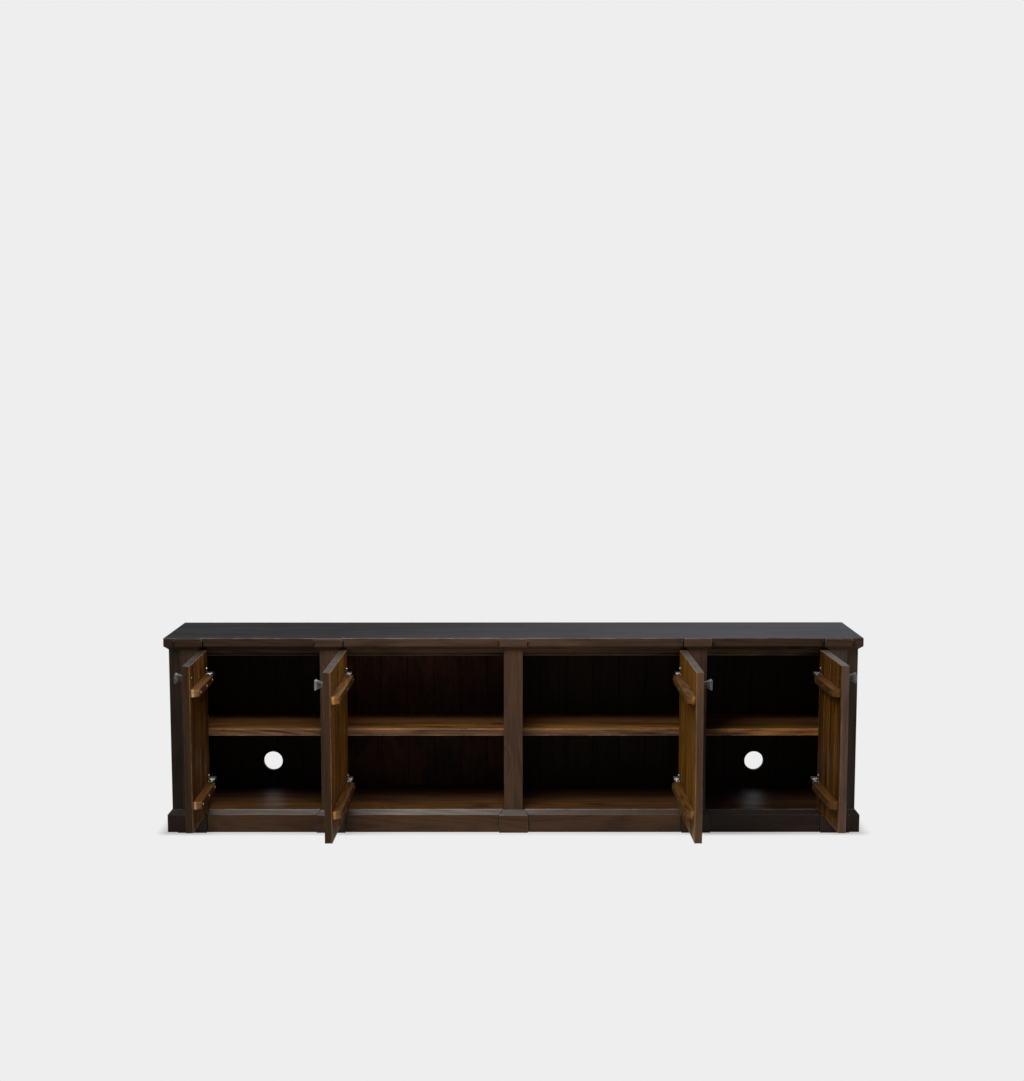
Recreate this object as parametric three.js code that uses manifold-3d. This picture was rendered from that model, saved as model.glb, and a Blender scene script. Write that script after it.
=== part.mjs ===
// Media console: a long low cabinet of dark stained wood with four bays, each with a shelf and a plank door.
// Lengths are in millimetres: X to the right, Y to the back, Z up.
// The origin lies on the floor under the middle of the body.
import * as THREE from 'three';
import { mergeVertices } from 'three/addons/utils/BufferGeometryUtils.js';
import Module from 'manifold-3d';

const wasm = await Module();
wasm.setup();

// Overall size
const overallWidth = 2440;
const overallDepth = 485;
const overallHeight = 690;

// Gap between two pieces that touch, and how far a cutting block runs past the face that it cuts
const seatGap = 0.3;
const cutOverrun = 6;

// Moulded top: a board over a cornice whose edge slopes in, both stepping forward over each pilaster
const topBoardHeight = 29;
const topArris = 1.5;
const corniceHeight = 12.5;
const mouldingRun = 16;
const stepForward = 12;

// Open joint in the top, the cornice and the plinth on both sides of each step
const jointWidth = 2.5;
const jointDepth = 3;

// Plinth frame: its face, the slope above it, its boards and the deck that lies in it
const plinthFaceHeight = 62;
const plinthSlopeHeight = 17.5;
const plinthBlockReveal = 2;
const plinthFrontThickness = 38;
const plinthEndThickness = 40;
const plinthBackThickness = 22;
const plinthBearerWidth = 40;
const deckThickness = 22;

// Pilasters: solid posts between the bays, and the stile outside each end one
const pilasterWidth = 66;
const pilasterDepth = 108;
const pilasterArris = 1.5;
const innerBayOpening = 577;
const endStileWidth = 39;
const panelThickness = 25;

// Back of upright boards with a cable hole in each outer bay
const backThickness = 18;
const plankWidth = 98;
const plankGrooveWidth = 3;
const plankGrooveDepth = 1.5;
const cableHoleDiameter = 70;
const cableHoleHeight = 92.5;
const cableHoleOutwardShift = 10.5;
const cableHoleSides = 48;

// Rail under the cornice, with a sloped bead along its lower edge
const railHeight = 25.5;
const railThickness = 24;
const railBeadDepth = 6;
const railBeadFlat = 2;

// Shelves, housed in grooves in the upright panels
const shelfTopAboveDeck = 270.5;
const shelfThickness = 25;
const shelfBehindPilaster = 3;
const shelfArris = 1.5;
const housingDepth = 6;

// Doors: plank panels that close between the pilasters, and how far each one stands open
const doorThickness = 25;
const doorSetback = 2;
const doorSideGap = 3;
const doorTopGap = 2.5;
const doorBottomGap = 4.5;
const doorRailGap = 2;
const doorArris = 1.5;
const doorOpenDegrees = [89.4, 90.7, 90.8, 91.6];

// Two battens across the inside of each door
const battenHeight = 28.5;
const battenThickness = 28;
const battenArris = 4;
const battenEndChamfer = 20;
const battenFromFreeEdge = 17;
const battenFromHingeEdge = 44;
const topBattenBelowDoorTop = 94;
const bottomBattenAboveDoorBottom = 89;

// Square flared knob on the outside of each door
const knobHeadWidth = 35;
const knobFaceWidth = 29;
const knobHeadThickness = 4;
const knobFaceRise = 2.5;
const knobFlareWidth = 25;
const knobNeckWidth = 15;
const knobFootWidth = 20;
const knobFootThickness = 2.5;
const knobProjection = 30.5;
const knobSides = 4;
const knobBelowDoorTop = 44.5;
const knobFromFreeEdge = 38;

// Concealed hinges, level with the battens: a cup let into the door, a link on its pin, and a box arm
// on a plate on the pilaster
const cupDiameter = 35;
const cupDepth = 11.5;
const cupWall = 2.5;
const cupFloor = 2;
const cupFromEdge = 22.5;
const cupFlangeLength = 52;
const cupFlangeWidth = 21;
const cupFlangeThickness = 1;
const cupSides = 32;
const earThickness = 2;
const earWidth = 9.5;
const earProud = 8.5;
const pinDiameter = 3;
const pinFromEdge = 8;
const pinProud = 5.3;
const pinSides = 16;
const linkThickness = 6;
const linkHeight = 9;
const linkTipMargin = 5.5;
const armWall = 1.6;
const armMouthGap = 2;
const armEndInset = 4;
const armPlateHeight = 36;
const armPlateThickness = 3;

// Planes of the body across its depth
const stepPlane = -overallDepth / 2;
const bayPlane = stepPlane + stepForward;
const pilasterPlane = stepPlane + mouldingRun;
const bodyPlane = bayPlane + mouldingRun;
const doorPlane = bodyPlane + doorSetback;
const doorInnerPlane = doorPlane + doorThickness;
const railPlane = doorInnerPlane + doorRailGap;
const pilasterBack = pilasterPlane + pilasterDepth;
const shelfPlane = pilasterBack + shelfBehindPilaster;
const backPlane = overallDepth / 2;
const backPanelPlane = backPlane - backThickness;

// Levels of the body
const deckTop = plinthFaceHeight + plinthSlopeHeight;
const deckUnderside = deckTop - deckThickness;
const topBoardUnderside = overallHeight - topBoardHeight;
const corniceUnderside = topBoardUnderside - corniceHeight;
const shelfTop = deckTop + shelfTopAboveDeck;
const doorBottom = deckTop + doorBottomGap;
const doorTop = corniceUnderside - doorTopGap;
const battenLevels = {
  top: doorTop - topBattenBelowDoorTop,
  bottom: doorBottom + bottomBattenAboveDoorBottom,
};

// Places across the width
const bodyHalfWidth = overallWidth / 2 - mouldingRun;
const endPilasterCentre = bodyHalfWidth - endStileWidth - pilasterWidth / 2;
const innerPilasterCentre = pilasterWidth + innerBayOpening;
const pilasterCentres = [-endPilasterCentre, -innerPilasterCentre, 0, innerPilasterCentre, endPilasterCentre];
const endPanelFace = bodyHalfWidth - panelThickness;

// Finishes
function finish(color, roughness, metalness = 0) {
  return new THREE.MeshStandardMaterial({ color, roughness, metalness });
}
const topWood = finish(0x3f3b3a, 0.42);
const bodyWood = finish(0x45322a, 0.5);
const insideWood = finish(0x2a1810, 0.6);
const doorWood = finish(0x6a4526, 0.52);
const battenWood = finish(0x8a6038, 0.55);
const knobMetal = finish(0x55524e, 0.4, 0.85);
const hingeMetal = finish(0xb9b8b4, 0.3, 0.9);

const part = new THREE.Group();

function place(name, geometry, material, group = part) {
  const mesh = new THREE.Mesh(geometry, material);
  mesh.name = name;
  group.add(mesh);
  return mesh;
}

// Turns a closed geometry into a solid that can be joined and cut
function solid(geometry) {
  const bare = new THREE.BufferGeometry();
  bare.setAttribute('position', geometry.getAttribute('position'));
  bare.setIndex(geometry.getIndex());
  const merged = mergeVertices(bare);
  const mesh = new wasm.Mesh({
    numProp: 3,
    vertProperties: new Float32Array(merged.getAttribute('position').array),
    triVerts: new Uint32Array(merged.getIndex().array),
  });
  return new wasm.Manifold(mesh);
}

// Turns a joined or cut solid back into a geometry
function surface(body) {
  const mesh = body.getMesh();
  const geometry = new THREE.BufferGeometry();
  geometry.setAttribute('position', new THREE.BufferAttribute(mesh.vertProperties, mesh.numProp));
  geometry.setIndex(new THREE.BufferAttribute(mesh.triVerts, 1));
  geometry.computeVertexNormals();
  return geometry;
}

// A block between its lowest and highest corners
function block(low, high) {
  const size = low.map((value, axis) => high[axis] - value);
  const geometry = new THREE.BoxGeometry(...size);
  geometry.translate(...low.map((value, axis) => value + size[axis] / 2));
  return geometry;
}

function shapeOf(points) {
  return new THREE.Shape(points.map(([x, y]) => new THREE.Vector2(x, y)));
}

// An outline in X and Y, drawn up from one level to another
function upright(points, lowLevel, highLevel) {
  const depth = highLevel - lowLevel;
  const geometry = new THREE.ExtrudeGeometry(shapeOf(points), { depth, bevelEnabled: false });
  geometry.translate(0, 0, lowLevel);
  return geometry;
}

// An outline in Y and Z, drawn along X
function lengthwise(points, left, right) {
  const depth = right - left;
  const geometry = new THREE.ExtrudeGeometry(shapeOf(points), { depth, bevelEnabled: false });
  geometry.applyMatrix4(new THREE.Matrix4().makeBasis(
    new THREE.Vector3(0, 1, 0), new THREE.Vector3(0, 0, 1), new THREE.Vector3(1, 0, 0)));
  geometry.translate(left, 0, 0);
  return geometry;
}

// A board whose outline steps in by a run over a rise, at its top or at its underside, but not along the back
function slopedBoard(points, lowLevel, highLevel, run, rise, slopeAtTop) {
  const thickness = highLevel - lowLevel;
  const geometry = new THREE.ExtrudeGeometry(shapeOf(points), {
    depth: thickness, bevelEnabled: true, bevelSegments: 1,
    bevelThickness: rise, bevelSize: run, bevelOffset: -run,
  });
  geometry.translate(0, 0, slopeAtTop ? lowLevel - rise : lowLevel + rise);
  const xs = points.map(([x]) => x);
  const ys = points.map(([, y]) => y);
  const keep = block([Math.min(...xs) - cutOverrun, Math.min(...ys) - cutOverrun, lowLevel],
    [Math.max(...xs) + cutOverrun, backPlane, highLevel]);
  return solid(geometry).intersect(solid(keep));
}

// Front outline of the top and the plinth, seen from above: it steps forward over each pilaster
function steppedOutline(stepHalfWidth, halfWidth) {
  const behind = backPlane + mouldingRun;
  const front = pilasterCentres.flatMap((centre) => [
    [centre - stepHalfWidth, bayPlane], [centre - stepHalfWidth, stepPlane],
    [centre + stepHalfWidth, stepPlane], [centre + stepHalfWidth, bayPlane],
  ]);
  return [[-halfWidth, behind], [-halfWidth, bayPlane], ...front, [halfWidth, bayPlane], [halfWidth, behind]];
}

// Points along a planked face from one end to the other, with a V groove at each joint between planks.
// inward is +1 or -1: the side of the face, across its plane, on which the wood lies.
function plankedFace(start, end, plane, inward) {
  const count = Math.max(1, Math.round(Math.abs(end - start) / plankWidth));
  const pitch = (end - start) / count;
  const half = Math.sign(pitch) * plankGrooveWidth / 2;
  const points = [];
  for (let joint = 1; joint < count; joint += 1) {
    const middle = start + joint * pitch;
    points.push([middle - half, plane], [middle, plane + inward * plankGrooveDepth], [middle + half, plane]);
  }
  return points;
}

// A stepped moulding, with an open joint that follows its face on both sides of each step
function steppedMoulding(stepHalfWidth, lowLevel, highLevel, run, rise, slopeAtTop) {
  const moulded = (outline) => slopedBoard(outline, lowLevel, highLevel, run, rise, slopeAtTop);
  const behind = backPlane + mouldingRun;
  const stepBlock = (centre, half, front) => moulded([
    [centre - half, behind], [centre - half, front], [centre + half, front], [centre + half, behind],
  ]);
  const whole = moulded(steppedOutline(stepHalfWidth, overallWidth / 2));
  const core = whole.translate([0, jointDepth, 0]);
  return pilasterCentres.reduce((moulding, centre) => {
    const wide = stepBlock(centre, stepHalfWidth + jointWidth, stepPlane - jointWidth);
    return moulding.subtract(wide.subtract(stepBlock(centre, stepHalfWidth, stepPlane)).subtract(core));
  }, whole);
}

// Top board and the cornice under it
const capHalfWidth = pilasterWidth / 2 + mouldingRun;
place('top_board', surface(steppedMoulding(capHalfWidth, topBoardUnderside + seatGap, overallHeight,
  topArris, topArris, true)), topWood);
place('cornice_board', surface(steppedMoulding(capHalfWidth, corniceUnderside, topBoardUnderside,
  mouldingRun, corniceHeight, false)), bodyWood);

// Plinth frame: front, ends, back and three bearers, with a seat along the front and the ends for the deck
const blockHalfWidth = capHalfWidth + plinthBlockReveal;
function plinthFrame() {
  let frame = steppedMoulding(blockHalfWidth, 0, deckTop, mouldingRun, plinthSlopeHeight, true);
  const backBoardFace = backPlane - plinthBackThickness;
  frame = frame.subtract(solid(block([-bodyHalfWidth, bodyPlane, deckUnderside - seatGap],
    [bodyHalfWidth, backBoardFace, deckTop + cutOverrun])));
  const innerEnd = overallWidth / 2 - plinthEndThickness;
  const bearers = pilasterCentres.slice(1, -1);
  const lefts = [-innerEnd, ...bearers.map((centre) => centre + plinthBearerWidth / 2)];
  const rights = [...bearers.map((centre) => centre - plinthBearerWidth / 2), innerEnd];
  lefts.forEach((left, bay) => {
    frame = frame.subtract(solid(block([left, bayPlane + plinthFrontThickness, -cutOverrun],
      [rights[bay], backBoardFace, deckTop])));
  });
  return frame;
}
place('plinth', surface(plinthFrame()), bodyWood);
place('deck', block([-bodyHalfWidth + seatGap, bodyPlane + seatGap, deckUnderside],
  [bodyHalfWidth - seatGap, backPlane - plinthBackThickness - seatGap, deckTop]), insideWood);

// Uprights stand between the deck and the cornice
const uprightFoot = deckTop + seatGap;
const uprightHead = corniceUnderside - seatGap;
const railUnderside = corniceUnderside - railHeight;
const railBack = railPlane + railThickness;

// Pilasters: each post is notched at its head for the rail
pilasterCentres.forEach((centre, index) => {
  const half = pilasterWidth / 2;
  const outline = [
    [centre - half, pilasterBack], [centre - half, pilasterPlane + pilasterArris],
    [centre - half + pilasterArris, pilasterPlane], [centre + half - pilasterArris, pilasterPlane],
    [centre + half, pilasterPlane + pilasterArris], [centre + half, pilasterBack],
  ];
  const notch = block([centre - pilasterWidth, railPlane - seatGap, railUnderside - seatGap],
    [centre + pilasterWidth, railBack + seatGap, uprightHead + cutOverrun]);
  const post = solid(upright(outline, uprightFoot, uprightHead)).subtract(solid(notch));
  place(`pilaster_${index + 1}`, surface(post), bodyWood);
});

// End panels: planked outside, with a stile as deep as the post beside it and a groove for the shelf
const housingLow = shelfTop - shelfThickness - seatGap;
const housingHigh = shelfTop + seatGap;
const housingFront = shelfPlane - seatGap;
for (const [side, sign] of [['left', -1], ['right', 1]]) {
  const outer = bodyHalfWidth;
  const stileInner = bodyHalfWidth - endStileWidth + seatGap;
  const grooves = plankedFace(bodyPlane, backPlane, outer, -1)
    .map(([along, across]) => [sign * across, along]);
  const outline = [
    [sign * stileInner, bodyPlane], [sign * outer, bodyPlane], ...grooves, [sign * outer, backPlane],
    [sign * endPanelFace, backPlane], [sign * endPanelFace, pilasterBack], [sign * stileInner, pilasterBack],
  ];
  const faces = [sign * (endPanelFace - cutOverrun), sign * (endPanelFace + housingDepth)];
  const housing = block([Math.min(...faces), housingFront, housingLow],
    [Math.max(...faces), backPanelPlane, housingHigh]);
  const panel = solid(upright(outline, uprightFoot, uprightHead)).subtract(solid(housing));
  place(`end_panel_${side}`, surface(panel), bodyWood);
}

// Partitions behind the three inner pilasters, grooved on both sides for the shelves
pilasterCentres.slice(1, -1).forEach((centre, index) => {
  const half = panelThickness / 2;
  let board = solid(block([centre - half, pilasterBack + seatGap, uprightFoot],
    [centre + half, backPanelPlane - seatGap, uprightHead]));
  for (const sign of [-1, 1]) {
    const faces = [centre + sign * (half - housingDepth), centre + sign * (half + cutOverrun)];
    board = board.subtract(solid(block([Math.min(...faces), housingFront, housingLow],
      [Math.max(...faces), backPlane, housingHigh])));
  }
  place(`partition_${index + 1}`, surface(board), insideWood);
});

// Back: upright boards with a round cable hole in each outer bay
function backPanel() {
  const half = endPanelFace - seatGap;
  const outline = [
    [-half, backPanelPlane], ...plankedFace(-half, half, backPanelPlane, 1), [half, backPanelPlane],
    [half, backPlane], ...plankedFace(half, -half, backPlane, -1), [-half, backPlane],
  ];
  let panel = solid(upright(outline, uprightFoot, uprightHead));
  const holeCentre = (innerPilasterCentre + endPilasterCentre) / 2 + cableHoleOutwardShift;
  for (const x of [-holeCentre, holeCentre]) {
    const hole = new THREE.CylinderGeometry(cableHoleDiameter / 2, cableHoleDiameter / 2,
      backThickness + 2 * cutOverrun, cableHoleSides);
    hole.translate(x, (backPanelPlane + backPlane) / 2, deckTop + cableHoleHeight);
    panel = panel.subtract(solid(hole));
  }
  return panel;
}
place('back_panel', surface(backPanel()), insideWood);

// Rail under the cornice, in one length through the pilaster heads
const railFace = railPlane + railBeadDepth;
const railBeadFoot = railUnderside + railBeadFlat;
place('top_rail', lengthwise([
  [railPlane, railUnderside], [railBack, railUnderside], [railBack, uprightHead], [railFace, uprightHead],
  [railFace, railBeadFoot + railBeadDepth], [railPlane, railBeadFoot],
], -(bodyHalfWidth - endStileWidth), bodyHalfWidth - endStileWidth), bodyWood);

// Shelves, one in each bay, from groove to groove
const halfPanel = panelThickness / 2;
const shelfSpans = [
  [-endPanelFace, -innerPilasterCentre - halfPanel], [-innerPilasterCentre + halfPanel, -halfPanel],
  [halfPanel, innerPilasterCentre - halfPanel], [innerPilasterCentre + halfPanel, endPanelFace],
];
shelfSpans.forEach(([left, right], index) => {
  const shelfBack = backPanelPlane - seatGap;
  const shelfUnderside = shelfTop - shelfThickness;
  place(`shelf_${index + 1}`, lengthwise([
    [shelfPlane, shelfUnderside + shelfArris], [shelfPlane + shelfArris, shelfUnderside],
    [shelfBack, shelfUnderside], [shelfBack, shelfTop],
    [shelfPlane + shelfArris, shelfTop], [shelfPlane, shelfTop - shelfArris],
  ], left - housingDepth + seatGap, right + housingDepth - seatGap), insideWood);
});

// Places that the hinge pieces share, from the door's hinge edge and outer face
const pinDepth = doorThickness + pinProud;
const pinCircle = Math.hypot(pinFromEdge, pinDepth);
const armFront = doorInnerPlane + earProud + armMouthGap;
const armBack = pilasterBack - armEndInset;
const linkReach = armBack - linkTipMargin - doorPlane - pinDepth;
const linkHalfHeight = linkHeight / 2;
const channelHalfHeight = linkHalfHeight + seatGap;
const earInner = linkHalfHeight + seatGap;
const earOuter = earInner + earThickness;

// A block given by its distances from the hinge edge, mirrored for a door hung on the right
function sidedBlock(hand, low, high) {
  const xs = [hand * low[0], hand * high[0]];
  return block([Math.min(...xs), low[1], low[2]], [Math.max(...xs), high[1], high[2]]);
}

// A disc across the door, centred on the cup
function cupDisc(hand, diameter, shallow, deep, level) {
  const disc = new THREE.CylinderGeometry(diameter / 2, diameter / 2, deep - shallow, cupSides);
  disc.translate(hand * cupFromEdge, (shallow + deep) / 2, level);
  return disc;
}

// Door panel: upright planks with a pocket for each hinge cup
function doorPanel(hand, width) {
  const outline = [
    [doorArris, 0], ...plankedFace(0, width, 0, 1), [width - doorArris, 0], [width, doorArris],
    [width, doorThickness - doorArris], [width - doorArris, doorThickness],
    ...plankedFace(width, 0, doorThickness, -1), [doorArris, doorThickness],
    [0, doorThickness - doorArris], [0, doorArris],
  ].map(([along, across]) => [hand * along, across]);
  let panel = solid(upright(outline, doorBottom, doorTop));
  for (const level of Object.values(battenLevels)) {
    panel = panel.subtract(solid(cupDisc(hand, cupDiameter + 2 * seatGap,
      doorThickness - cupDepth - seatGap, doorThickness + cutOverrun, level)));
  }
  return panel;
}

// Batten: a bar across the planks with its ends cut back at a slant and its edges eased
function batten(hand, width, level) {
  const near = battenFromHingeEdge;
  const far = width - battenFromFreeEdge;
  const seat = doorThickness + seatGap;
  const face = seat + battenThickness;
  const shoulder = face - battenEndChamfer;
  const outline = [
    [near, seat - battenArris], [far, seat - battenArris], [far, shoulder], [far - battenEndChamfer, face],
    [near + battenEndChamfer, face], [near, shoulder],
  ].map(([along, across]) => [hand * along, across]);
  const bar = new THREE.ExtrudeGeometry(shapeOf(outline), {
    depth: battenHeight - 2 * battenArris, bevelEnabled: true, bevelSegments: 1,
    bevelThickness: battenArris, bevelSize: battenArris, bevelOffset: -battenArris,
  });
  bar.translate(0, 0, level - battenHeight / 2 + battenArris);
  const keep = sidedBlock(hand, [near - cutOverrun, seat, level - battenHeight],
    [far + cutOverrun, face + cutOverrun, level + battenHeight]);
  return solid(bar).intersect(solid(keep));
}

// Knob: four-sided, from its foot on the door out to its head; the widths are taken across its flats
function knob(hand, width) {
  const cornerShare = 1 / (2 * Math.cos(Math.PI / knobSides));
  const footFace = seatGap + knobFootThickness;
  const headBack = knobProjection - knobFaceRise - knobHeadThickness;
  const profile = [
    [0, seatGap], [knobFootWidth, seatGap], [knobFootWidth, footFace], [knobNeckWidth, footFace],
    [knobFlareWidth, headBack], [knobHeadWidth, headBack], [knobHeadWidth, headBack + knobHeadThickness],
    [knobFaceWidth, knobProjection], [0, knobProjection],
  ].map(([wide, out]) => new THREE.Vector2(wide * cornerShare, -out)).reverse();
  const geometry = new THREE.LatheGeometry(profile, knobSides);
  geometry.rotateY(Math.PI / knobSides);
  geometry.translate(hand * (width - knobFromFreeEdge), 0, doorTop - knobBelowDoorTop);
  return geometry;
}

// Hinge cup: a dished cup and flange in the door, with two ears that hold the pin
function hingeCup(hand, level) {
  const seat = doorThickness + seatGap;
  const flangeFace = seat + cupFlangeThickness;
  const flangeNear = cupFromEdge - cupFlangeWidth / 2;
  const earNear = pinFromEdge - pinDiameter;
  const earFar = earNear + earWidth;
  const earFoot = doorThickness - cupDepth + cupFloor;
  const earFootNear = cupFromEdge - cupDiameter / 2 + cupWall;
  let body = solid(cupDisc(hand, cupDiameter, doorThickness - cupDepth, flangeFace, level));
  body = body.add(solid(sidedBlock(hand, [flangeNear, seat, level - cupFlangeLength / 2],
    [flangeNear + cupFlangeWidth, flangeFace, level + cupFlangeLength / 2])));
  body = body.subtract(solid(cupDisc(hand, cupDiameter - 2 * cupWall,
    doorThickness - cupDepth + cupFloor, flangeFace + cutOverrun, level)));
  for (const sign of [-1, 1]) {
    const heights = [level + sign * earInner, level + sign * earOuter];
    const low = Math.min(...heights);
    const high = Math.max(...heights);
    body = body.add(solid(sidedBlock(hand, [earNear, seat, low], [earFar, doorThickness + earProud, high])));
    body = body.add(solid(sidedBlock(hand, [earFootNear, earFoot, low], [earFar, flangeFace, high])));
  }
  const pinLength = 2 * earOuter - earThickness;
  const pin = new THREE.CylinderGeometry(pinDiameter / 2, pinDiameter / 2, pinLength, pinSides);
  pin.rotateX(Math.PI / 2);
  pin.translate(hand * pinFromEdge, pinDepth, level);
  return body.add(solid(pin));
}

// Hinge link: a flat bar, round at the end that turns on the pin, with its own origin on the pin's axis
function hingeLink(level) {
  const half = linkThickness / 2;
  const outline = new THREE.Shape();
  outline.moveTo(half, 0);
  outline.lineTo(half, linkReach);
  outline.lineTo(-half, linkReach);
  outline.lineTo(-half, 0);
  outline.absarc(0, 0, half, Math.PI, 2 * Math.PI, false);
  const eye = new THREE.Path();
  eye.absarc(0, 0, pinDiameter / 2 + seatGap, 0, 2 * Math.PI, true);
  outline.holes.push(eye);
  const geometry = new THREE.ExtrudeGeometry(outline, {
    depth: linkHeight, bevelEnabled: false, curveSegments: pinSides,
  });
  geometry.translate(0, 0, level - linkHalfHeight);
  return geometry;
}

// Hinge arm: a plate on the pilaster and a box channel in which the link slides
function hingeArm(hand, side, level) {
  const channelFar = doorSideGap + pinCircle + linkThickness / 2 + seatGap;
  const plateFace = seatGap + armPlateThickness;
  const channelOuter = channelHalfHeight + armWall;
  const piece = (low, high) => {
    const geometry = sidedBlock(hand, low, high);
    geometry.translate(side, 0, 0);
    return solid(geometry);
  };
  const plateHalf = armPlateHeight / 2;
  const plate = piece([seatGap, armFront, level - plateHalf], [plateFace, armBack, level + plateHalf]);
  const box = piece([seatGap, armFront, level - channelOuter],
    [channelFar + armWall, armBack, level + channelOuter]);
  const channel = piece([plateFace, armFront - cutOverrun, level - channelHalfHeight],
    [channelFar, armBack + cutOverrun, level + channelHalfHeight]);
  return plate.add(box).subtract(channel);
}

// Doors in their bays: hand is +1 for a door hung on its left edge, -1 for one hung on its right
const doorHands = [1, 1, -1, -1];
doorHands.forEach((hand, index) => {
  const number = index + 1;
  const leftSide = pilasterCentres[index] + pilasterWidth / 2;
  const rightSide = pilasterCentres[index + 1] - pilasterWidth / 2;
  const width = rightSide - leftSide - 2 * doorSideGap;
  const hingeSide = hand > 0 ? leftSide : rightSide;
  const openAngle = hand * THREE.MathUtils.degToRad(doorOpenDegrees[index]);

  const door = new THREE.Group();
  door.position.set(hingeSide + hand * doorSideGap, doorPlane, 0);
  door.rotation.z = -openAngle;
  part.add(door);
  place(`door_${number}_panel`, surface(doorPanel(hand, width)), doorWood, door);
  place(`door_${number}_knob`, knob(hand, width), knobMetal, door);

  for (const [name, level] of Object.entries(battenLevels)) {
    place(`door_${number}_batten_${name}`, surface(batten(hand, width, level)), battenWood, door);
    place(`hinge_${number}_${name}_cup`, surface(hingeCup(hand, level)), hingeMetal, door);
    place(`hinge_${number}_${name}_arm`, surface(hingeArm(hand, hingeSide, level)), hingeMetal);

    const link = new THREE.Group();
    link.position.set(hand * pinFromEdge, pinDepth, 0);
    link.rotation.z = openAngle;
    door.add(link);
    place(`hinge_${number}_${name}_link`, hingeLink(level), hingeMetal, link);
  }
});

export default part;
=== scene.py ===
# Media console: the looks of its wood, knobs, hinges and screws, and the plain studio that it stands in.
# Lengths are in metres: X to the right, Y to the back, Z up, with the origin on the floor.
import math
import bmesh
import bpy
from mathutils import Matrix, Vector


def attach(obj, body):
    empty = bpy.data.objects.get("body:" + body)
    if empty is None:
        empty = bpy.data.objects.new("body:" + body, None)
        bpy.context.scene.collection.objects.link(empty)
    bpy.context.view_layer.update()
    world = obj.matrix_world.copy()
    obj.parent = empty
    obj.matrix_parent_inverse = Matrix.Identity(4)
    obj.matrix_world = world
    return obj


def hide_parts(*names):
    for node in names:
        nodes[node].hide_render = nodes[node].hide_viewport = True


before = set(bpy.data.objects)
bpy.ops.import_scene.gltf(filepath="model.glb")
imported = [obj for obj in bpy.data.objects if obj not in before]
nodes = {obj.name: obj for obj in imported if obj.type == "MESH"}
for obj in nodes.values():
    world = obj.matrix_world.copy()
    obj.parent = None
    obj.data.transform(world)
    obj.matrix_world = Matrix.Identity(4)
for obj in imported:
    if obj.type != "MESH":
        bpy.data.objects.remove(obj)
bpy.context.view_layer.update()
scene = bpy.context.scene

# Camera
# The viewer stands 7.3 m in front of the console with the eye at 1.57 m, tipped down by eight degrees.
# The frame is shifted up, so the console sits in its lower half.
eye = (0.006805, -7.319071, 1.567640)
turned_left = 0.00162
tipped_down = 0.14392
rolled = -0.00061
camera_data = bpy.data.cameras.new("camera")
camera_data.sensor_width = 36.0
camera_data.lens = 68.293
camera_data.shift_y = 0.12958
camera_data.clip_end = 100.0
camera = bpy.data.objects.new("camera", camera_data)
camera.matrix_world = (
    Matrix.Translation(eye)
    @ Matrix.Rotation(turned_left, 4, "Z")
    @ Matrix.Rotation(math.pi / 2 - tipped_down, 4, "X")
    @ Matrix.Rotation(rolled, 4, "Z")
)
scene.collection.objects.link(camera)
scene.camera = camera

# Plinth
# A glued softwood frame that carries the whole cabinet, stained dark brown and waxed.
# Its sloped top edge carries a painted grey sheen, browner on its right half; its corners are paler, partly
# rubbed and partly a painted highlight, and stain sits in its joints.
# Its left end and the stretch from the fourth post to the right end are darkened with painted shade.
bay_front = -0.2305
body_front = -0.2145
step_centres = (0.0, 0.643, 1.132)
plinth_step_half = 0.05225
near_black = "#080403"


def tint(code):
    """A colour written as on a paint card, as the renderer reads it."""
    parts = [int(code[i : i + 2], 16) / 255 for i in (1, 3, 5)]
    return (*[c / 12.92 if c <= 0.04045 else ((c + 0.055) / 1.055) ** 2.4 for c in parts], 1.0)


def add(tree, kind, values=None, **settings):
    """A node in a tree, with its settings, and its inputs set or joined by name or number."""
    made = tree.nodes.new(kind)
    for name, value in settings.items():
        setattr(made, name, value)
    for key, value in (values or {}).items():
        if isinstance(value, bpy.types.NodeSocket):
            tree.links.new(value, made.inputs[key])
        else:
            made.inputs[key].default_value = value
    return made


def reckon(tree, operation, *values, clamp=False):
    """A Math node's result."""
    made = add(tree, "ShaderNodeMath", dict(enumerate(values)), operation=operation, use_clamp=clamp)
    return made.outputs[0]


def reckon_vector(tree, operation, first, second):
    """A Vector Math node's result."""
    return add(tree, "ShaderNodeVectorMath", {0: first, 1: second}, operation=operation).outputs[0]


def spread(tree, value, low, high, to_low=0.0, to_high=1.0):
    """A value eased from one range to another."""
    settings = {0: value, 1: low, 2: high, 3: to_low, 4: to_high}
    return add(tree, "ShaderNodeMapRange", settings, interpolation_type="SMOOTHSTEP").outputs[0]


def mixed(tree, share, first, second):
    """Two colours mixed by a share."""
    return add(tree, "ShaderNodeMix", {0: share, 6: first, 7: second}, data_type="RGBA").outputs[2]


def split(tree, vector):
    """A vector's three parts."""
    return add(tree, "ShaderNodeSeparateXYZ", {0: vector}).outputs


def noise(tree, vector, scale, detail, rough):
    """Noise stretched by a scale along each axis, per metre."""
    stretched = reckon_vector(tree, "MULTIPLY", vector, scale)
    values = {"Vector": stretched, "Scale": 1.0, "Detail": detail, "Roughness": rough}
    return add(tree, "ShaderNodeTexNoise", values).outputs[0]


def new_group(name, inputs, outputs):
    """An empty node group with its named sockets, and its two ends."""
    group = bpy.data.node_groups.new(name, "ShaderNodeTree")
    for socket, kind in inputs:
        group.interface.new_socket(socket, in_out="INPUT", socket_type=kind)
    for socket, kind in outputs:
        group.interface.new_socket(socket, in_out="OUTPUT", socket_type=kind)
    return group, group.nodes.new("NodeGroupInput").outputs, group.nodes.new("NodeGroupOutput").inputs


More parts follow.
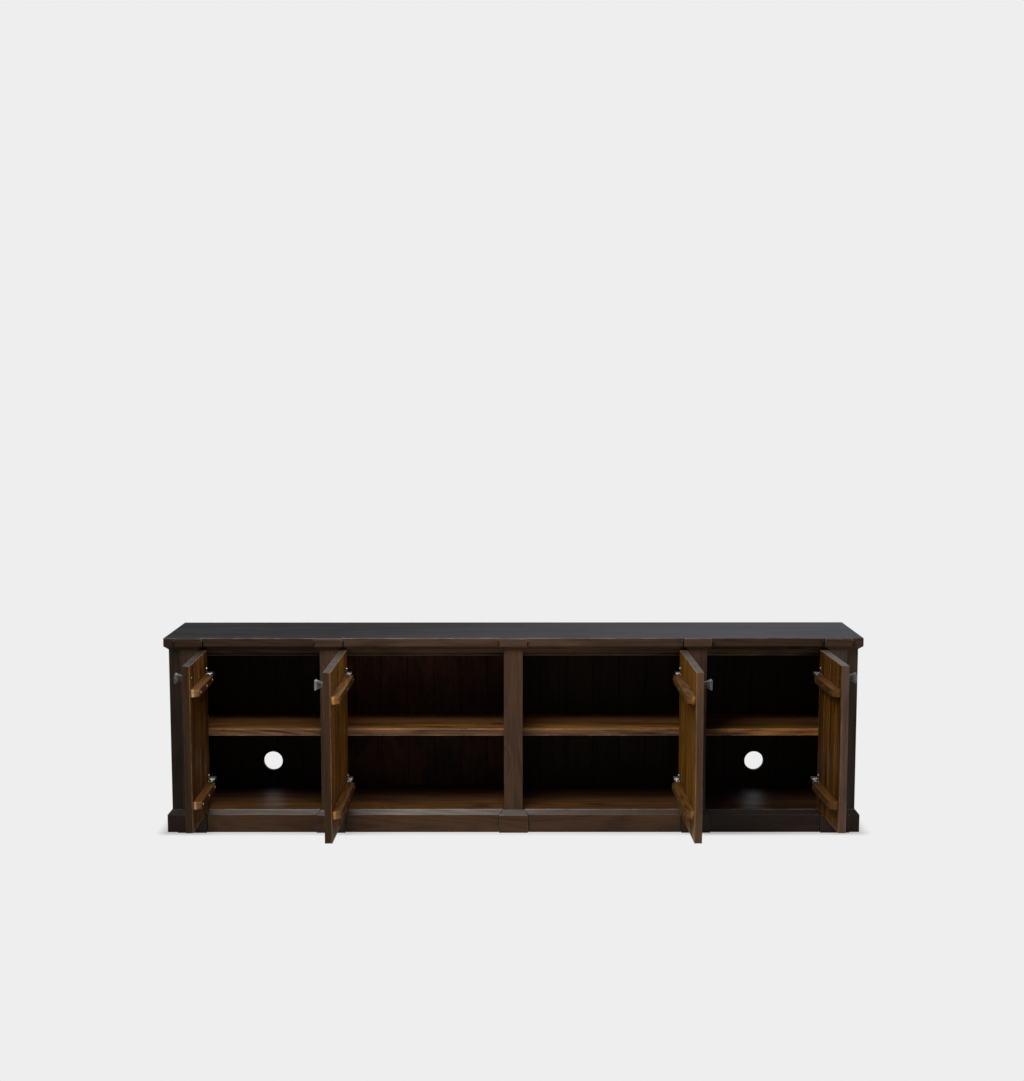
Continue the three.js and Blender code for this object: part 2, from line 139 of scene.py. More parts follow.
def sawn_wood():
    """The grain runs along the vector's X, and boards lie side by side along its Y."""
    t, given, result = new_group(
        "sawn_wood",
        [
            ("Vector", "NodeSocketVector"),
            ("Board", "NodeSocketFloat"),
            ("Dark", "NodeSocketColor"),
            ("Light", "NodeSocketColor"),
            ("Contrast", "NodeSocketFloat"),
            ("End", "NodeSocketFloat"),
        ],
        [("Color", "NodeSocketColor"), ("Grain", "NodeSocketFloat"), ("Height", "NodeSocketFloat")],
    )
    # each board is cut from another place in the wood, and takes the stain in its own tone
    across = split(t, given["Vector"])[1]
    board = reckon(t, "FLOOR", reckon(t, "DIVIDE", across, given["Board"]))
    chance = add(t, "ShaderNodeTexWhiteNoise", {"W": reckon(t, "ADD", board, 0.37)}, noise_dimensions="1D")
    moved = reckon_vector(t, "MULTIPLY", chance.outputs["Color"], (2.7, 1.9, 3.1))
    place = reckon_vector(t, "ADD", given["Vector"], moved)
    tone = spread(t, chance.outputs["Value"], 0.0, 1.0, 0.82, 1.18)
    # knots are a few rounded cells that also push the growth lines aside
    knot_place = reckon_vector(t, "MULTIPLY", place, (4.2, 8.0, 8.0))
    cells = add(t, "ShaderNodeTexVoronoi", {"Vector": knot_place, "Scale": 1.0})
    cell_chance = add(t, "ShaderNodeSeparateColor", {0: cells.outputs["Color"]}).outputs[0]
    has_knot = reckon(t, "GREATER_THAN", cell_chance, 0.80)
    near_knot = reckon(t, "MULTIPLY", spread(t, cells.outputs["Distance"], 0.42, 0.04), has_knot)
    knot = reckon(t, "MULTIPLY", spread(t, cells.outputs["Distance"], 0.13, 0.07), has_knot)
    # growth lines, fibres, pores and broad blotches make up the grain
    figure = noise(t, place, (0.9, 8.0, 8.0), 1.5, 0.5)
    figure = reckon(t, "ADD", figure, reckon(t, "MULTIPLY", near_knot, 0.22))
    lines = reckon(t, "SINE", reckon(t, "MULTIPLY", figure, 88.0))
    lines = reckon(t, "POWER", reckon(t, "MULTIPLY_ADD", lines, 0.5, 0.5), 1.6)
    fibre = noise(t, place, (7.0, 260.0, 260.0), 2.0, 0.65)
    pores = spread(t, noise(t, place, (16.0, 760.0, 760.0), 1.0, 0.5), 0.60, 0.72)
    blotch = noise(t, place, (1.9, 11.0, 11.0), 3.0, 0.6)
    grain = reckon(t, "MULTIPLY", spread(t, blotch, 0.28, 0.72), 0.42)
    grain = reckon(t, "MULTIPLY_ADD", reckon(t, "SUBTRACT", 1.0, lines), 0.26, grain)
    grain = reckon(t, "MULTIPLY_ADD", spread(t, fibre, 0.30, 0.70), 0.32, grain)
    from_middle = reckon(t, "SUBTRACT", grain, 0.5)
    grain = reckon(t, "MULTIPLY_ADD", from_middle, given["Contrast"], 0.5, clamp=True)
    colour = mixed(t, grain, given["Dark"], given["Light"])
    colour = mixed(t, reckon(t, "MULTIPLY", pores, 0.45), colour, tint("#0c0604"))
    colour = mixed(t, reckon(t, "MULTIPLY", knot, 0.72), colour, tint("#150a06"))
    colour = mixed(t, reckon(t, "MULTIPLY", given["End"], 0.38), colour, tint("#130a06"))
    toned = add(t, "ShaderNodeVectorMath", {0: colour, 3: tone}, operation="SCALE").outputs[0]
    rise = reckon(t, "MULTIPLY_ADD", lines, 0.25, reckon(t, "MULTIPLY", fibre, 0.6))
    rise = reckon(t, "SUBTRACT", rise, reckon(t, "MULTIPLY", pores, 0.5))
    t.links.new(toned, result["Color"])
    t.links.new(grain, result["Grain"])
    t.links.new(rise, result["Height"])
    return t


def worn_and_highlit_corner():
    """Corners made paler in patches: partly stain rubbed through, partly a painted highlight along the
    arrises.
    """
    t, given, result = new_group(
        "worn_and_highlit_corner",
        [("Vector", "NodeSocketVector"), ("Amount", "NodeSocketFloat"), ("Radius", "NodeSocketFloat")],
        [("Mask", "NodeSocketFloat")],
    )
    softened = add(t, "ShaderNodeBevel", {"Radius": given["Radius"]}, samples=4).outputs[0]
    plain = t.nodes.new("ShaderNodeNewGeometry").outputs["Normal"]
    alike = add(t, "ShaderNodeVectorMath", {0: softened, 1: plain}, operation="DOT_PRODUCT").outputs["Value"]
    corner = spread(t, reckon(t, "SUBTRACT", 1.0, alike), 0.015, 0.16)
    patches = spread(t, noise(t, given["Vector"], (21.0, 21.0, 21.0), 3.0, 0.65), 0.36, 0.62, 0.4, 1.0)
    worn_and_highlit = reckon(t, "MULTIPLY", reckon(t, "MULTIPLY", corner, patches), given["Amount"], clamp=True)
    t.links.new(worn_and_highlit, result["Mask"])
    return t


def stain_and_shade_in_hollows():
    """Darkening in joints, grooves and inner corners: partly stain and wax gathered there, partly painted
    shade.
    """
    t, given, result = new_group(
        "stain_and_shade_in_hollows", [("Amount", "NodeSocketFloat")], [("Mask", "NodeSocketFloat")]
    )
    nearness = add(t, "ShaderNodeAmbientOcclusion", {"Distance": 0.007}, samples=6)
    hollow_share = spread(t, nearness.outputs["AO"], 0.80, 0.40)
    t.links.new(reckon(t, "MULTIPLY", hollow_share, given["Amount"], clamp=True), result["Mask"])
    return t


def open_joint():
    """Dark lines in the open joints on both sides of each step of the front."""
    t, given, result = new_group(
        "open_joint",
        [("Vector", "NodeSocketVector"), ("Half", "NodeSocketFloat")],
        [("Mask", "NodeSocketFloat")],
    )
    at = split(t, given["Vector"])
    sideways = reckon(t, "ABSOLUTE", at[0])
    in_front = reckon(t, "LESS_THAN", at[1], body_front - 0.0002)
    # on a sloped edge the joint runs inwards with the slope, as a mitre
    inwards = reckon(t, "MAXIMUM", reckon(t, "ADD", at[1], -bay_front), 0.0)
    nearest = 1.0
    for centre in step_centres:
        from_step = reckon(t, "ABSOLUTE", reckon(t, "SUBTRACT", sideways, centre))
        from_line = reckon(t, "SUBTRACT", reckon(t, "ADD", from_step, inwards), given["Half"])
        nearest = reckon(t, "MINIMUM", reckon(t, "ABSOLUTE", from_line), nearest)
    line = spread(t, nearest, 0.0024, 0.0013)
    t.links.new(reckon(t, "MULTIPLY", line, in_front), result["Mask"])
    return t


wood_group = sawn_wood()
wear_and_highlight_group = worn_and_highlit_corner()
hollow_shade_group = stain_and_shade_in_hollows()
joint_group = open_joint()


def new_material(name):
    """A material, its shader, and the coordinates that its pattern reads."""
    made = bpy.data.materials.new(name)
    made.use_nodes = True
    tree = made.node_tree
    return made, tree, tree.nodes["Principled BSDF"], tree.nodes.new("ShaderNodeTexCoord").outputs


def finish_surface(tree, shader, colour, rough, height, strength, deep):
    """Joins a colour, a roughness and a relief to a shader."""
    bump = add(tree, "ShaderNodeBump", {"Height": height, "Strength": strength, "Distance": deep})
    tree.links.new(colour, shader.inputs["Base Color"])
    tree.links.new(rough, shader.inputs["Roughness"])
    tree.links.new(bump.outputs[0], shader.inputs["Normal"])


def reorder(tree, vector, order):
    """The vector with its axes in another order, so that its first one lies along the grain."""
    parts = split(tree, vector)
    picked = {number: parts["xyz".index(letter)] for number, letter in enumerate(order)}
    return add(tree, "ShaderNodeCombineXYZ", picked).outputs[0]


def upward(tree, vector, faces):
    """One on a face that looks up, nought elsewhere."""
    return spread(tree, faces[2], 0.8, 0.95)


def lay_grain(tree, vector, faces, order, ends_turned):
    """The place with its first axis along the grain, and how far a face shows end grain."""
    along = reorder(tree, vector, order)
    end = spread(tree, reckon(tree, "ABSOLUTE", faces["xyz".index(order[0])]), 0.6, 0.9)
    if not ends_turned:
        return along, end
    sideways = reckon(tree, "GREATER_THAN", reckon(tree, "ABSOLUTE", faces[0]), 0.5)
    turned_grain = {0: sideways, 4: along, 5: reorder(tree, vector, "yxz")}
    return add(tree, "ShaderNodeMix", turned_grain, data_type="VECTOR").outputs[1], 0.0


def shade_boards(tree, colour, vector, faces, shaded_boards):
    """Paints shade on boards of a front: each is given by its two ends and how much painted shade it takes.
    """
    at = split(tree, vector)
    in_front = reckon(tree, "LESS_THAN", at[1], -0.19)
    in_front = reckon(tree, "MULTIPLY", in_front, reckon(tree, "LESS_THAN", faces[2], 0.9))
    for first, last, amount in shaded_boards:
        within = reckon(tree, "COMPARE", at[0], (first + last) / 2, (last - first) / 2)
        share = reckon(tree, "MULTIPLY", reckon(tree, "MULTIPLY", within, in_front), amount)
        colour = mixed(tree, share, colour, tint(near_black))
    return colour


def wood(name, stains, worn_and_highlit_colour, order="xyz", board=10.0, start=0.0, slid=0.0, ends_turned=False,
         contrast=1.0, rough=0.45, gloss=0.12, worn_and_highlit=0.5, edge_reach=0.0035, wear_and_highlight_where=None,
         joint=None, joint_dark=0.8, shaded_boards=(), other=None, other_share=upward,
         other_contrast=None, patch=None, home=None, turn=0.0):
    """Stained wood: its grain along the first axis of order, its boards across the second one.
    A second pair of colours, where there is one, covers the share of the surface that other_share gives; on
    some surfaces it is a real stain, on others painted light or shade. A patch is one more share and the
    colour that it takes there, on some surfaces painted light or shade too. The grain is slid along by a
    length.
    A door's wood reads the place in the door's own frame, which home and turn give."""
    made, tree, shader, source = new_material(name)
    vector = source["Object"]
    if home is not None:
        values = {"Vector": vector, "Location": home, "Rotation": (0.0, 0.0, turn)}
        vector = add(tree, "ShaderNodeMapping", values, vector_type="TEXTURE").outputs[0]
    faces = split(tree, source["Normal"])
    along, end = lay_grain(tree, vector, faces, order, ends_turned)
    shifted = reckon_vector(tree, "ADD", along, (slid, -start, 0.0))

    def sawn(pair, strength):
        """Sawn wood in a dark and a light stain."""
        values = {"Vector": shifted, "Board": board, "End": end, "Contrast": strength,
                  "Dark": tint(pair[0]), "Light": tint(pair[1])}
        return add(tree, "ShaderNodeGroup", values, node_tree=wood_group).outputs

    first_wood = sawn(stains, contrast)
    colour = first_wood["Color"]
    if other is not None:
        other_wood = sawn(other, other_contrast or contrast)
        colour = mixed(tree, other_share(tree, vector, faces), colour, other_wood["Color"])
    if patch is not None:
        patch_share, patch_colour = patch
        colour = mixed(tree, patch_share(tree, vector, faces), colour, tint(patch_colour))
    # painted shade on whole boards of a front
    if shaded_boards:
        colour = shade_boards(tree, colour, vector, faces, shaded_boards)
    # paler corners: partly stain rubbed through, partly a painted highlight along the arrises
    values = {"Vector": vector, "Amount": worn_and_highlit, "Radius": edge_reach}
    wear_and_highlight_share = add(tree, "ShaderNodeGroup", values, node_tree=wear_and_highlight_group).outputs["Mask"]
    if wear_and_highlight_where is not None:
        wear_and_highlight_share = reckon(tree, "MULTIPLY", wear_and_highlight_share, wear_and_highlight_where(tree, vector, faces))
    if joint is None:
        colour = mixed(tree, wear_and_highlight_share, colour, tint(worn_and_highlit_colour))
    else:
        seam = add(tree, "ShaderNodeGroup", {"Vector": vector, "Half": joint}, node_tree=joint_group)
        not_level = reckon(tree, "LESS_THAN", faces[2], 0.97)
        seam_share = reckon(tree, "MULTIPLY", seam.outputs["Mask"], not_level)
        beside_seam = reckon(tree, "SUBTRACT", 1.0, seam_share)
        colour = mixed(tree, reckon(tree, "MULTIPLY", wear_and_highlight_share, beside_seam), colour, tint(worn_and_highlit_colour))
        colour = mixed(tree, reckon(tree, "MULTIPLY", seam_share, joint_dark), colour, tint("#0d0704"))
    # joints, grooves and inner corners darkened: partly gathered stain, partly painted shade
    hollow_shade = add(tree, "ShaderNodeGroup", {"Amount": 0.85}, node_tree=hollow_shade_group)
    colour = mixed(tree, hollow_shade.outputs["Mask"], colour, tint(near_black))
    roughness = spread(tree, first_wood["Grain"], 0.0, 1.0, rough + 0.09, rough - 0.05)
    finish_surface(tree, shader, colour, roughness, first_wood["Height"], 0.25, 0.0006)
    shader.inputs["Specular IOR Level"].default_value = gloss
    return made


def dress(node, material):
    """Gives a node of the frame its finish."""
    mesh = nodes[node].data
    mesh.materials.clear()
    mesh.materials.append(material)


def sloped(tree, vector, faces):
    """One on a face that looks up or slopes up, nought on an upright one."""
    return spread(tree, faces[2], 0.25, 0.45)


def right_slope_less_sheen(tree, vector, faces):
    """The share of brown on the sloped edge's right half, where the painted grey sheen is weaker than on the
    left one.
    """
    right_half = spread(tree, split(tree, vector)[0], -0.1, 0.3, 0.0, 0.8)
    return reckon(tree, "MULTIPLY", right_half, sloped(tree, vector, faces))


# the greyer second stain on the slope is a painted sheen; the shaded boards are painted shade
dress("plinth", wood("plinth_wood", ("#20130b", "#48301e"), "#9a8d84", board=0.9, ends_turned=True,
                     contrast=0.9, rough=0.36, gloss=0.13, worn_and_highlit=0.6,
                     joint=plinth_step_half, joint_dark=0.5,
                     shaded_boards=[(-1.25, -1.08, 0.55), (0.59, 1.25, 0.6)],
                     other=("#28201b", "#53483f"), other_share=sloped, patch=(right_slope_less_sheen, "#312011")))

# Deck
# The floor of the four bays: broad boards glued side by side, in the browner stain of the inside.
# Its back is darkened with painted shade, and the whole of the last bay with painted shadow, so its front is
# the brighter part.
deck_board = 0.145


def shaded_back(tree, vector, faces):
    """The share of painted shade: one at the back of the bays, nought along their front."""
    patches = noise(tree, vector, (7.0, 7.0, 7.0), 2.0, 0.6)
    return spread(tree, reckon(tree, "MULTIPLY_ADD", patches, 0.08, split(tree, vector)[1]), -0.10, 0.08)


def shadowed_bay(tree, vector, faces):
    """The share of painted shadow on the deck of the last bay."""
    return spread(tree, split(tree, vector)[0], 0.60, 0.68, 0.0, 0.45)


dress("deck", wood("deck_wood", ("#211308", "#4f3419"), "#7a5f44", board=deck_board, start=body_front,
                   contrast=1.6, rough=0.42, gloss=0.12, worn_and_highlit=0.3,
                   other=("#170d07", "#301b0f"), other_share=shaded_back, patch=(shadowed_bay, "#1c0f09")))

# Pilasters
# Five solid posts between plinth and cornice, their grain upright, each cut from another length of wood.
# The rail is let into their heads. Their stains differ as painted light: darker towards the left end, lighter
# and greyer at the right end.
pilaster_stain_and_light = [("#1e140f", "#402f22"), ("#22160f", "#483223"), ("#241811", "#4c3525"),
                   ("#22160f", "#493325"), ("#251e19", "#4f443a")]
for number, stains in enumerate(pilaster_stain_and_light, 1):
    dress(f"pilaster_{number}", wood(f"pilaster_wood_{number}", stains, "#6b513d", order="zxy",
                                     start=0.31 * number, contrast=0.9, rough=0.4))

# End panels and partitions
# The ends are upright planks with a V at each joint and a stile beside the post, stained as the front, the
# left one darker and the right one lighter and greyer, as painted light.
# The partitions behind the inner posts are plain glued boards in the stain of the inside.
end_plank = 0.0914
end_stain_and_light = {"left": ("#120b07", "#2c1e12"), "right": ("#1b140f", "#3c2e25")}
partition_board = 0.115
partition_front = -0.118
for side, stains in end_stain_and_light.items():
    dress(f"end_panel_{side}", wood(f"end_wood_{side}", stains, "#5c4636", order="zyx",
                                    board=end_plank, start=body_front, rough=0.42))
partition_wood = wood("partition_wood", ("#3c2315", "#8e5a3a"), "#3c2418", order="zyx",
                      board=partition_board, start=partition_front, rough=0.5, gloss=0.06, worn_and_highlit=0.3)
for number in range(1, 4):
    dress(f"partition_{number}", partition_wood)

# Back
# Upright boards with a V at each joint, almost black, bored with a cable hole in each outer bay.
# Inside, the boards behind the second bay are redder and paler, in uneven patches.
back_board = 0.09823
back_left = -1.1787


def redder_patches(tree, vector, faces):
    """Patches on the inner face of the boards behind the second bay."""
    within = reckon(tree, "COMPARE", split(tree, vector)[0], -0.33, 0.31)
    patches = spread(tree, noise(tree, vector, (7.0, 7.0, 5.0), 5.0, 0.65), 0.30, 0.72)
    inside = spread(tree, faces[1], -0.5, -0.8, 0.0, 0.85)
    return reckon(tree, "MULTIPLY", reckon(tree, "MULTIPLY", patches, within), inside)


dress("back_panel", wood("back_wood", ("#0e0b0a", "#392b20"), "#3c2418", order="zxy", board=back_board,
                         start=back_left, contrast=0.45, rough=0.52, gloss=0.06, worn_and_highlit=0.25,
                         other=("#38211a", "#835642"), other_share=redder_patches))

# Rail, cornice and top
# The rail under the cornice, the cornice with its sloped edge, and the top glued up from four broad staves.
# The top's face is almost black with a painted grey sheen, strongest at the right; its edge is as the front.
top_stave = 0.1215
step_front = -0.2425
cap_half = 0.05025


def painted_sheen(tree, vector, faces):
    """The share of painted grey sheen on the top, growing from the left end to the right one in long drifts.
    """
    drift = noise(tree, vector, (2.0, 9.0, 9.0), 3.0, 0.6)
    share = spread(tree, reckon(tree, "MULTIPLY_ADD", drift, 0.5, split(tree, vector)[0]), -0.6, 1.7)
    return reckon(tree, "MULTIPLY", share, upward(tree, vector, faces))


def upper_corner(tree, vector, faces):
    """One at the top's upper corner, nought at its lower one."""
    return spread(tree, split(tree, vector)[2], 0.676, 0.680)


dress("top_rail", wood("rail_wood", ("#35281e", "#6d5543"), "#6b5240", start=0.4, rough=0.42,
                       gloss=0.10, worn_and_highlit=0.3))
# The cornice and the top's front edge are darkened over the outer bays with painted shade; the pale line
# along the top's upper front corner is partly wear, partly a painted highlight.
dress("cornice_board", wood("cornice_wood", ("#2a1c11", "#583c28"), "#6e5544", board=0.9, start=0.2,
                            ends_turned=True, rough=0.42, gloss=0.10, worn_and_highlit=0.4, joint=cap_half,
                            shaded_boards=[(-1.081, -0.694, 0.35), (0.694, 1.081, 0.5)]))
dress("top_board", wood("top_wood", ("#231a14", "#4a382c"), "#a39993", board=top_stave,
                        start=step_front, contrast=0.8, rough=0.5, gloss=0.011, worn_and_highlit=0.78,
                        edge_reach=0.005, wear_and_highlight_where=upper_corner, joint=cap_half,
                        shaded_boards=[(-1.25, -0.694, 0.32), (0.694, 1.081, 0.32)],
                        other=("#090708", "#131112"), patch=(painted_sheen, "#3e3d42")))

# Shelves
# One board in each bay, housed in grooves at its ends, with a lively grain.
# Its front edge is paler, partly rubbed through the stain by hands, partly a painted highlight; its back is
# made paler with painted light.
shelf_board = 0.17
shelf_stains = [("#1b120a", "#705036"), ("#160e08", "#60422d"), ("#1a110a", "#6c4b33"),
                ("#2a1a0d", "#a16c3c")]


def lit_back(tree, vector, faces):
    """The share of painted light at the back of a shelf's upper face."""
    behind = spread(tree, split(tree, vector)[1], -0.02, 0.12, 0.0, 0.6)
    return reckon(tree, "MULTIPLY", behind, upward(tree, vector, faces))


for number, stains in enumerate(shelf_stains, 1):
    dress(f"shelf_{number}", wood(f"shelf_wood_{number}", stains, "#c9a47e", board=shelf_board,
                                  start=0.23 * number, contrast=1.8, rough=0.42, worn_and_highlit=0.9, edge_reach=0.005,
                                  other=("#331f0e", "#7e5426"), patch=(lit_back, "#a97448")))

# Doors
# Each is a panel of upright planks with a V at each joint: dark stain outside, left browner inside.
# It hangs by its outer edge and stands open by about ninety degrees.
hinge_x = [-1.096, -0.607, 0.607, 1.096]
hinge_y = -0.2125
door_hand = [1, 1, -1, -1]
door_degrees = [89.4, 90.7, 90.8, 91.6]
door_width = [0.417, 0.571, 0.571, 0.417]
door_thickness = 0.025
plank_width = 0.098
# Per door, the outer stain grows lighter towards the right and the first door's inside is darker: painted
# light and shade. The greyer top edge is partly dust, partly a painted sheen, lighter towards the right.
outside_stain_and_light = [("#221811", "#4d392a"), ("#241a12", "#523c2c"), ("#31241b", "#6c513c"),
                  ("#312620", "#6e574b")]
inside_stain_and_light = [("#1b0d03", "#53300a"), ("#1f1104", "#603b0e"), ("#251606", "#6e4715"),
                 ("#1f1105", "#5e3b13")]
door_top_dust_and_sheen = ["#292421", "#35302d", "#3b3633", "#5d5855"]


def outside_of_door(tree, local, faces):
    """One on a door's outer face and its edges, nought on its inner face."""
    return spread(tree, split(tree, local)[1], door_thickness - 0.0012, door_thickness - 0.0022)


def dust_and_sheen_on_door_top(tree, local, faces):
    """The share of dust and painted sheen on a door's top edge."""
    return reckon(tree, "MULTIPLY", upward(tree, local, faces), 0.75)


def inner_corner(tree, local, faces):
    """One at the corners of a door's inner face, less at those of its outer face and its top edge."""
    beside = spread(tree, faces[2], 0.8, 0.95, 1.0, 0.3)
    inner = spread(tree, split(tree, local)[1], 0.010, 0.018, 0.25, 1.0)
    return reckon(tree, "MULTIPLY", inner, beside)


def door_home(index):
    """The foot of a door's hinge line."""
    return (hinge_x[index], hinge_y, 0.0)


def door_turn(index):
    """How far a door is turned about its hinge line from shut, in radians."""
    return -door_hand[index] * math.radians(door_degrees[index])


for index in range(4):
    width = door_width[index]
    plank = width / round(width / plank_width)
    start = 0.0 if door_hand[index] > 0 else -width
    dress(f"door_{index + 1}_panel", wood(
        f"door_wood_{index + 1}", inside_stain_and_light[index], "#b68c62", order="zxy", board=plank, start=start,
        slid=0.83 * index, contrast=1.6, rough=0.46, gloss=0.03, worn_and_highlit=0.9, edge_reach=0.005,
        wear_and_highlight_where=inner_corner, other=outside_stain_and_light[index], other_share=outside_of_door,
        other_contrast=0.85, patch=(dust_and_sheen_on_door_top, door_top_dust_and_sheen[index]),
        home=door_home(index), turn=door_turn(index)))

# Door battens
# Two bars across the inside of each door, cut back at a slant at both ends, with rounded edges.
# Each one is held by three screws; the ends that look to the front are painted lighter, as lit, and its broad
# face darker, with painted shade.
batten_height = 0.0285
batten_thickness = 0.028
batten_slant = 0.020
batten_rounding = 0.0035
batten_from_hinge = 0.044
batten_from_free_edge = 0.017
batten_levels = {"top": 0.552, "bottom": 0.173}
lit_end_colours = [("#9c6e44", "#e0b98c"), ("#80542e", "#bd8850"), ("#6a4828", "#a1733f"),
               ("#4a3018", "#6e4c2a")]
broad_face_shade = ["#2a150b", "#2c170b", "#4a3318", "#3c2812"]
seat_gap = 0.0003
batten_seat = door_thickness + seat_gap
batten_face = batten_seat + batten_thickness
merge_distance = 1e-6


def door_place(index):
    """From a door's own frame to the console's: X from its hinge edge, Y from its outer face inwards."""
    return Matrix.Translation(door_home(index)) @ Matrix.Rotation(door_turn(index), 4, "Z")


def finish_piece(shape, name, material, body, matrix=None, smooth=30):
    """A bmesh made an object at the origin, with its place in its mesh, riding on a body."""
    if matrix is not None:
        bmesh.ops.transform(shape, matrix=matrix, verts=shape.verts)
    bmesh.ops.remove_doubles(shape, verts=shape.verts, dist=merge_distance)
    bmesh.ops.recalc_face_normals(shape, faces=shape.faces)
    mesh = bpy.data.meshes.new(name)
    shape.to_mesh(mesh)
    shape.free()
    mesh.materials.append(material)
    piece = bpy.data.objects.new(name, mesh)
    scene.collection.objects.link(piece)
    for polygon in mesh.polygons:
        polygon.use_smooth = True
    mesh.set_sharp_from_angle(angle=math.radians(smooth))
    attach(piece, body)
    return piece


def risen(grown):
    """The vertices that an extrusion made."""
    return [v for v in grown["geom"] if isinstance(v, bmesh.types.BMVert)]


def eased(shape, edges, width, segments):
    """Rounds some edges of a bmesh."""
    bmesh.ops.bevel(shape, geom=edges, offset=width, segments=segments, profile=0.5, affect="EDGES",
                    material=-1, clamp_overlap=True)


def batten(index, level):
    """One bar, drawn up from its outline."""
    hand = door_hand[index]
    near, far = batten_from_hinge, door_width[index] - batten_from_free_edge
    shoulder = batten_face - batten_slant
    outline = [(near, batten_seat), (far, batten_seat), (far, shoulder), (far - batten_slant, batten_face),
               (near + batten_slant, batten_face), (near, shoulder)]
    shape = bmesh.new()
    low = level - batten_height / 2
    foot = shape.faces.new([shape.verts.new((hand * x, y, low)) for x, y in outline])
    upper = risen(bmesh.ops.extrude_face_region(shape, geom=[foot]))
    bmesh.ops.translate(shape, vec=(0, 0, batten_height), verts=upper)
    seated = {v for v in shape.verts if abs(v.co.y - batten_seat) < merge_distance}
    free = [e for e in shape.edges if not seated.issuperset(e.verts)]
    eased(shape, free, batten_rounding, 4)
    return shape


def lit_end(tree, local, faces):
    """One near the free end of a batten, on the faces that look to the front, painted lighter as lit; nought
    along its length.
    """
    towards_end = spread(tree, reckon(tree, "ABSOLUTE", split(tree, local)[0]), 0.30, 0.36)
    return reckon(tree, "MULTIPLY", spread(tree, faces[1], -0.5, -1.0), towards_end)


def shaded_broad_face(tree, local, faces):
    """The share of painted shade on a batten's broad face."""
    return spread(tree, reckon(tree, "ABSOLUTE", faces[0]), 0.75, 0.95, 0.0, 0.6)


for index in range(4):
    for name, level in batten_levels.items():
        label = f"door_{index + 1}_batten_{name}"
        finish = wood(f"batten_wood_{index + 1}_{name}", ("#25150a", "#60401f"), "#a07a4c", order="xzy",
                      start=0.37 * index + level, contrast=1.2, gloss=0.04, worn_and_highlit=0.7, edge_reach=0.005,
                      other=lit_end_colours[index], other_share=lit_end,
                      patch=(shaded_broad_face, broad_face_shade[index]), home=door_home(index), turn=door_turn(index))
        piece = finish_piece(batten(index, level), f"{label}_bar", finish, f"door_{index + 1}",
                             door_place(index), smooth=35)
        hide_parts(label)

# Knobs
# Square cast knobs in dark pewter, flaring from a narrow foot to a stepped head, each in its own tone: partly
# tarnish, partly painted light and shade.
# A bolt goes through the door into each one, and its round head shows on the inside.
knob_tarnish_and_light = [("#373634", "#676563"), ("#4a4846", "#8a8884"), ("#333230", "#605e5c"),
                ("#373634", "#686664")]
knob_level = 0.6015
knob_from_free_edge = 0.038
knob_rounding = 0.0009
# each pair is a width across the flats and how far it stands out from the door
knob_profile = [(0.0190, 0.0003), (0.0190, 0.0018), (0.0164, 0.0026), (0.0170, 0.0050), (0.0196, 0.0100),
                (0.0236, 0.0155), (0.0276, 0.0205), (0.0290, 0.0222), (0.0294, 0.0236), (0.0322, 0.0240),
                (0.0330, 0.0247), (0.0330, 0.0280), (0.0316, 0.0292), (0.0280, 0.0302), (0.0140, 0.0305)]
square = [(-1, -1), (1, -1), (1, 1), (-1, 1)]


def worn_and_highlit_metal(tree, place, amount, colour, highlit_colour):
    """A metal's colour with its corners paler: partly worn bright, partly a painted highlight."""
    values = {"Vector": place, "Amount": amount, "Radius": 0.002}
    wear_and_highlight = add(tree, "ShaderNodeGroup", values, node_tree=wear_and_highlight_group)
    return mixed(tree, wear_and_highlight.outputs["Mask"], colour, tint(highlit_colour))


def pewter(name, dark, light):
    """Cast pewter, tarnished in clouds, its corners paler with wear and a painted highlight."""
    made, tree, shader, source = new_material(name)
    place = source["Object"]
    cloud = noise(tree, place, (90.0, 90.0, 90.0), 4.0, 0.65)
    pits = noise(tree, place, (520.0, 520.0, 520.0), 2.0, 0.6)
    tarnish = mixed(tree, spread(tree, cloud, 0.35, 0.65), tint(dark), tint(light))
    colour = worn_and_highlit_metal(tree, place, 1.0, tarnish, "#c2c0ba")
    finish_surface(tree, shader, colour, spread(tree, cloud, 0.3, 0.7, 0.52, 0.36), pits, 0.25, 0.0004)
    shader.inputs["Metallic"].default_value = 0.85
    return made


def knob(index):
    """One knob, its square rings bridged from foot to head."""
    shape = bmesh.new()
    loops = []
    for size, out in knob_profile:
        half = size / 2
        ring = [shape.verts.new((x * half, -out, z * half)) for x, z in square]
        loops.append([shape.edges.new(pair) for pair in zip(ring, ring[1:] + ring[:1])])
    for low, high in zip(loops, loops[1:]):
        bmesh.ops.bridge_loops(shape, edges=low + high)
    bmesh.ops.holes_fill(shape, edges=loops[0] + loops[-1], sides=len(square))
    bmesh.ops.recalc_face_normals(shape, faces=shape.faces)
    posts = [e for e in shape.edges if abs(e.verts[0].co.y - e.verts[1].co.y) > merge_distance]
    eased(shape, posts, knob_rounding, 3)
    along = door_hand[index] * (door_width[index] - knob_from_free_edge)
    bmesh.ops.translate(shape, vec=(along, 0.0, knob_level), verts=shape.verts)
    return shape


for index in range(4):
    label = f"door_{index + 1}_knob"
    knob_metal = pewter(f"knob_pewter_{index + 1}", *knob_tarnish_and_light[index])
    piece = finish_piece(knob(index), f"{label}_cast", knob_metal, f"door_{index + 1}",
                         door_place(index), smooth=40)
    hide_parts(label)

# Hinges
# Concealed cup hinges of nickel-plated steel: the cup let into the door, a link that turns on its pin,
# and a box arm on a plate that is screwed to the side of the pilaster.
arm_rounding = 0.0008
shortest_pressed_edge = 0.004
flat_within = math.radians(1)
bent_beyond = math.radians(50)


